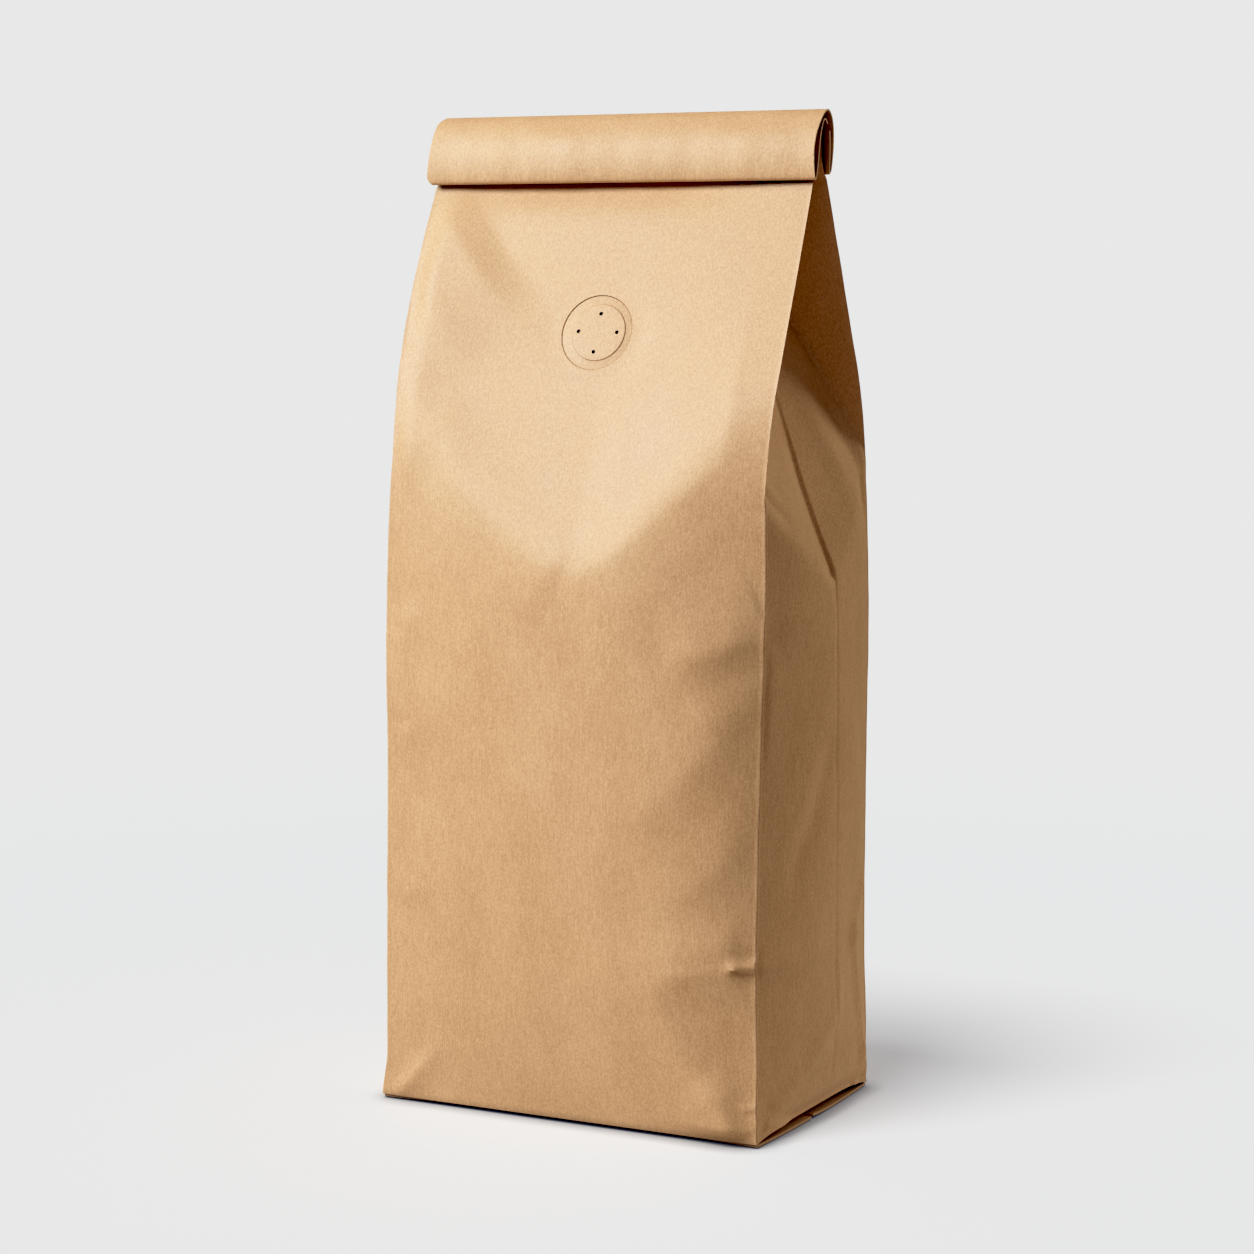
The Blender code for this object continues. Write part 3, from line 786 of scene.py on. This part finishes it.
# ---------------------------------------------------------------------------------------------------
# The degassing valve: a round plastic plate welded behind the panel, with the paper pressed over it.
# The press leaves a narrow groove round the plate and four pinholes that let the beans breathe.
PLATE_STEPS = 128
PLATE_SMOOTH_BELOW = math.radians(25)
CAP_LEVELS = 5
CAP_TOP = 0.0001
CAP_SHIFT = 0.0006
# From the middle of the cap outwards: radius and height above the panel, mm
PLATE_PROFILE = ((8.50, 0.10), (8.86, 0.08), (9.00, -0.02), (9.06, -0.17), (9.20, -0.20),
                 (11.60, -0.20), (11.82, -0.24), (11.93, -0.36), (11.93, -1.20))
PIN_RADIUS = 0.00062
PIN_DEPTH = 0.0006
PIN_STEPS = 20
# The near-black colour inside the pinholes is painted shade
PIN_PAINTED_SHADE = (0.045, 0.025, 0.012)
PIN_ROUGHNESS = 0.8
# Where the pinholes are, from the middle of the cap: to the right and up
PINS = ((-0.0001, 0.0060), (-0.0069, 0.0003), (0.0063, 0.0001), (-0.0006, -0.0062))
# The faces inside a pinhole lie within this many radii of its middle, and this far under the cap
PIN_WITHIN = 1.02
PIN_UNDER_CAP = 0.00001

bpy.ops.object.select_all(action="DESELECT")
bpy.ops.mesh.primitive_cylinder_add(vertices=PLATE_STEPS, radius=1, depth=1, location=(0, 0, 0))
valve_plate = bpy.context.object
valve_plate.name = "valve_plate"
bpy.ops.object.mode_set(mode="EDIT")
bpy.ops.mesh.select_mode(type="EDGE")
cut_edges(valve_plate, 2, len(PLATE_PROFILE) - 2)
bpy.ops.object.mode_set(mode="OBJECT")
points = read_points(valve_plate.data)
level = np.rint((0.5 - points[:, 2]) * (len(PLATE_PROFILE) - 1)).astype(int)
profile = np.array(PLATE_PROFILE)[level] / 1000
points[:, :2] *= profile[:, :1]
points[:, 0] += CAP_SHIFT * (level < CAP_LEVELS)
place_points(valve_plate.data, points[:, 0], points[:, 1], profile[:, 1])
for number, (right, up) in enumerate(PINS):
    bpy.ops.mesh.primitive_cylinder_add(vertices=PIN_STEPS, radius=PIN_RADIUS, depth=2 * PIN_DEPTH,
                                        location=(CAP_SHIFT + right, up, CAP_TOP))
    pin = bpy.context.object
    bored = valve_plate.modifiers.new(f"pinhole_{number}", "BOOLEAN")
    bored.operation = "DIFFERENCE"
    bored.object = pin
    bpy.ops.object.select_all(action="DESELECT")
    bpy.context.view_layer.objects.active = valve_plate
    valve_plate.select_set(True)
    bpy.ops.object.modifier_apply(modifier=f"pinhole_{number}")
    bpy.data.objects.remove(pin)
# The walls and floors of the pinholes are painted near-black as the shade inside the holes
pin_painted_shade = bpy.data.materials.new("pinhole_painted_shade")
pin_painted_shade.use_nodes = True
pin_shader = pin_painted_shade.node_tree.nodes["Principled BSDF"]
pin_shader.inputs["Base Color"].default_value = (*PIN_PAINTED_SHADE, 1)
pin_shader.inputs["Roughness"].default_value = PIN_ROUGHNESS
valve_plate.data.materials.clear()
valve_plate.data.materials.append(kraft)
valve_plate.data.materials.append(pin_painted_shade)
for face in valve_plate.data.polygons:
    near = min(math.hypot(face.center.x - CAP_SHIFT - right, face.center.y - up) for right, up in PINS)
    inside = near < PIN_RADIUS * PIN_WITHIN and face.center.z < CAP_TOP - PIN_UNDER_CAP
    face.material_index = int(inside)
seat_depth = PANEL_TOP_DEPTH + (NECK_HEIGHT - VALVE_Z) * math.tan(PANEL_LEAN)
valve_plate.data.transform(Matrix.Rotation(math.pi / 2 - PANEL_LEAN, 4, "X"))
valve_plate.data.transform(Matrix.Translation((VALVE_X, -seat_depth, VALVE_Z)))
bpy.ops.object.shade_smooth_by_angle(angle=PLATE_SMOOTH_BELOW)
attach(valve_plate, "root")
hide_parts("valve")

# ---------------------------------------------------------------------------------------------------
# The rolled top: the mouth of the bag, pressed flat and folded over twice towards the back of the
# neck, so that one smooth outer turn of paper hides two inner ones. Its own stiffness holds it shut.
ROLL_HALF_WIDTH = 0.0667
ROLL_PAPER = 0.00045
ROLL_ROWS = 150
ROLL_COLUMNS = 120
ROLL_CURVE_STEPS = 12
ROLL_SMOOTH_BELOW = math.radians(50)
# The left end: drawn in at the crown and at the bottom of the roll, and slanting between them
ROLL_TOP_CORNER = 0.0020
ROLL_TOP_CORNER_FROM = 0.3062
ROLL_TOP_CORNER_RISE = 0.0026
ROLL_LOW_CORNER = 0.0015
ROLL_LOW_CORNER_FROM = 0.2900
ROLL_LOW_CORNER_RISE = 0.0020
ROLL_SLANT = 0.035
ROLL_MIDDLE = 0.298
# The right end: slightly uneven from turn to turn, with the cut edge of the paper paler than its face
ROLL_UNEVEN = 0.0004
ROLL_UNEVEN_TURNS = 9.0
CUT_EDGE_PALE = 0.8
CUT_EDGE_FACING = 0.9
# How far the inner turns wander to and fro along the roll, above which height they do, and which
# shares of the paper's length belong to them
INNER_BOW = 0.0042
INNER_BOW_FROM = (0.2890, 0.2945)
INNER_TURNS = (0.269, 0.831)
# The outer turn's front and rear at one height each, and how far inside it the inner turns stay
OUTER_TURN = np.array(((288, -7.5, 4.0), (291, -7.7, 5.6), (295, -7.3, 7.1), (298, -6.6, 7.35),
                       (302, -5.0, 6.8), (305, -3.1, 5.6), (308, -0.4, 3.2))) / 1000
INNER_GAP = 0.0008
# Shallow waves along the roll: how deep, how often and where they start; and the depths between which
# they come in, so that only the front of the roll has them
ROLL_WAVES = ((0.00016, 95.0, 0.6), (0.00010, 210.0, 2.0), (0.00005, 520.0, 1.0))
ROLL_WAVES_FROM = (-0.002, -0.006)
# The middle of the paper from its inner end to its last one, seen from the bag's right: y and z, mm
ROLL_PATH = np.array((
    (2.6, 304.6), (1.6, 305.9), (0.2, 305.6), (-1.2, 303.0), (-2.9, 299.2), (-4.9, 294.0), (-6.2, 290.0),
    (-6.8, 288.1), (-7.6, 288.3), (-7.75, 291.2), (-7.3, 295.0), (-6.4, 298.6), (-5.0, 302.0),
    (-3.0, 305.2), (-0.8, 307.7), (1.8, 308.75), (4.2, 307.2), (6.0, 304.3), (7.1, 300.6), (7.35, 296.6),
    (6.4, 292.6), (5.0, 290.2), (4.0, 289.9), (3.6, 291.6), (3.25, 296.0), (3.4, 302.6))) / 1000


def smooth_path(points, shares):
    """Places along a smooth curve through the points, at even or uneven shares of its length."""
    ends = np.vstack((2 * points[0] - points[1], points, 2 * points[-1] - points[-2]))
    t = np.linspace(0, 1, ROLL_CURVE_STEPS, endpoint=False)[:, None]
    runs = []
    for a, b, c, d in zip(ends[:-3], ends[1:-2], ends[2:-1], ends[3:]):
        squared = (2 * a - 5 * b + 4 * c - d) * t ** 2
        cubed = (3 * b - a - 3 * c + d) * t ** 3
        runs.append(0.5 * (2 * b + (c - a) * t + squared + cubed))
    curve = np.vstack((*runs, points[-1:]))
    length = np.concatenate(((0,), np.cumsum(np.linalg.norm(np.diff(curve, axis=0), axis=1))))
    places = shares * length[-1]
    return np.stack([np.interp(places, length, values) for values in curve.T], axis=1)


bpy.ops.object.select_all(action="DESELECT")
bpy.ops.mesh.primitive_grid_add(x_subdivisions=ROLL_COLUMNS, y_subdivisions=ROLL_ROWS, size=2)
rolled_top = bpy.context.object
rolled_top.name = "rolled_top"
flat = read_points(rolled_top.data)
turn = smooth_path(ROLL_PATH, (flat[:, 1] + 1) / 2)
at_crown = np.clip((turn[:, 1] - ROLL_TOP_CORNER_FROM) / ROLL_TOP_CORNER_RISE, 0, 1)
at_bottom = np.clip((ROLL_LOW_CORNER_FROM - turn[:, 1]) / ROLL_LOW_CORNER_RISE, 0, 1)
slant = ROLL_SLANT * (turn[:, 1] - ROLL_MIDDLE)
left_end = ROLL_HALF_WIDTH - ROLL_TOP_CORNER * at_crown ** 2 - ROLL_LOW_CORNER * at_bottom ** 2 - slant
right_end = ROLL_HALF_WIDTH + ROLL_UNEVEN * np.sin(flat[:, 1] * ROLL_UNEVEN_TURNS)
x = np.where(flat[:, 0] < 0, flat[:, 0] * left_end, flat[:, 0] * right_end)
outer = smooth_step(*ROLL_WAVES_FROM, turn[:, 0])
wave = sum(deep * np.sin(x * often + start) for deep, often, start in ROLL_WAVES)
inner = (flat[:, 1] < 2 * INNER_TURNS[0] - 1) | (flat[:, 1] > 2 * INNER_TURNS[1] - 1)
bow = INNER_BOW * np.sin(np.pi * flat[:, 0]) * smooth_step(*INNER_BOW_FROM, turn[:, 1]) * inner
front_limit = np.interp(turn[:, 1], OUTER_TURN[:, 0], OUTER_TURN[:, 1]) + INNER_GAP
rear_limit = np.interp(turn[:, 1], OUTER_TURN[:, 0], OUTER_TURN[:, 2]) - INNER_GAP
bowed = np.clip(turn[:, 0] + bow, front_limit, rear_limit)
y = np.where(inner & (np.abs(bow) > 0), bowed, turn[:, 0])
place_points(rolled_top.data, x, y + wave * outer, turn[:, 1])
wall = rolled_top.modifiers.new("paper", "SOLIDIFY")
wall.thickness = ROLL_PAPER
wall.offset = 0
bpy.ops.object.modifier_apply(modifier="paper")
bpy.ops.object.mode_set(mode="EDIT")
bpy.ops.mesh.select_all(action="SELECT")
bpy.ops.mesh.normals_make_consistent(inside=False)
bpy.ops.object.mode_set(mode="OBJECT")
bpy.ops.object.shade_smooth_by_angle(angle=ROLL_SMOOTH_BELOW)
cut_edge = rolled_top.data.attributes.new("pale_edge_and_highlight", "FLOAT", "FACE")
for face in rolled_top.data.polygons:
    cut_edge.data[face.index].value = CUT_EDGE_PALE * (abs(face.normal.x) > CUT_EDGE_FACING)
rolled_top.data.materials.append(kraft)
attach(rolled_top, "root")
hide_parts("bag")

# ---------------------------------------------------------------------------------------------------
# The block bottom: the ends of the tube, folded flat under the bag in two broad flaps that meet a
# little in front of its middle. They are several papers thick and peep out under both gussets.
FLAP_THICKNESS = 0.0012
FLAP_HALF_WIDTH = 0.0652
FLAP_BOW = 0.0012
FLAP_FRONT = 0.0411
FLAP_SEAM = -0.0035
FLAP_SEAM_GAP = 0.0014
# The rear flap curls up along the seam, most at its ends
FLAP_CURL = 0.0006
FLAP_CURL_REACH = 0.016
FLAP_CURL_POWER = 12
# Both flaps lift off the table at their rims: at the gussets, and at the front and the rear
FLAP_LIFT = 0.0004
FLAP_END_LIFT = 0.0011
FLAP_LIFT_POWER = 10
FLAP_END_POWER = 4
FLAP_CUTS_ACROSS = 39
FLAP_CUTS_ALONG = 15
FLAP_SMOOTH_BELOW = math.radians(40)


def make_flap(name, front, rear):
    bpy.ops.object.select_all(action="DESELECT")
    bpy.ops.mesh.primitive_cube_add(size=2)
    flap = bpy.context.object
    flap.name = name
    bpy.ops.object.mode_set(mode="EDIT")
    bpy.ops.mesh.select_mode(type="EDGE")
    cut_edges(flap, 0, FLAP_CUTS_ACROSS)
    cut_edges(flap, 1, FLAP_CUTS_ALONG)
    bpy.ops.object.mode_set(mode="OBJECT")
    plain = read_points(flap.data)
    y = front + (rear - front) * (plain[:, 1] + 1) / 2
    reach = FLAP_HALF_WIDTH + FLAP_BOW * (1 - (y / FLAP_FRONT) ** 2)
    x = plain[:, 0] * reach
    curl = FLAP_CURL * np.clip(1 - np.abs(y - FLAP_SEAM) / FLAP_CURL_REACH, 0, 1) ** 2 * (y > FLAP_SEAM)
    sideways = np.abs(plain[:, 0]) ** FLAP_LIFT_POWER
    endways = np.abs(y / FLAP_FRONT) ** FLAP_LIFT_POWER * (1 - plain[:, 0] ** FLAP_END_POWER)
    curled = curl * np.abs(plain[:, 0]) ** FLAP_CURL_POWER
    lift = FLAP_LIFT * sideways + FLAP_END_LIFT * endways + curled
    z = np.where(plain[:, 2] < 0, 0.0, FLAP_THICKNESS - FLAP_LIFT) + lift
    place_points(flap.data, x, y, z)
    bpy.ops.object.shade_smooth_by_angle(angle=FLAP_SMOOTH_BELOW)
    flap.data.materials.append(kraft)
    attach(flap, "root")
    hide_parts("bag")


make_flap("bottom_flap_front", -FLAP_FRONT, FLAP_SEAM - FLAP_SEAM_GAP / 2)
make_flap("bottom_flap_rear", FLAP_SEAM + FLAP_SEAM_GAP / 2, FLAP_FRONT)

low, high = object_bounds()
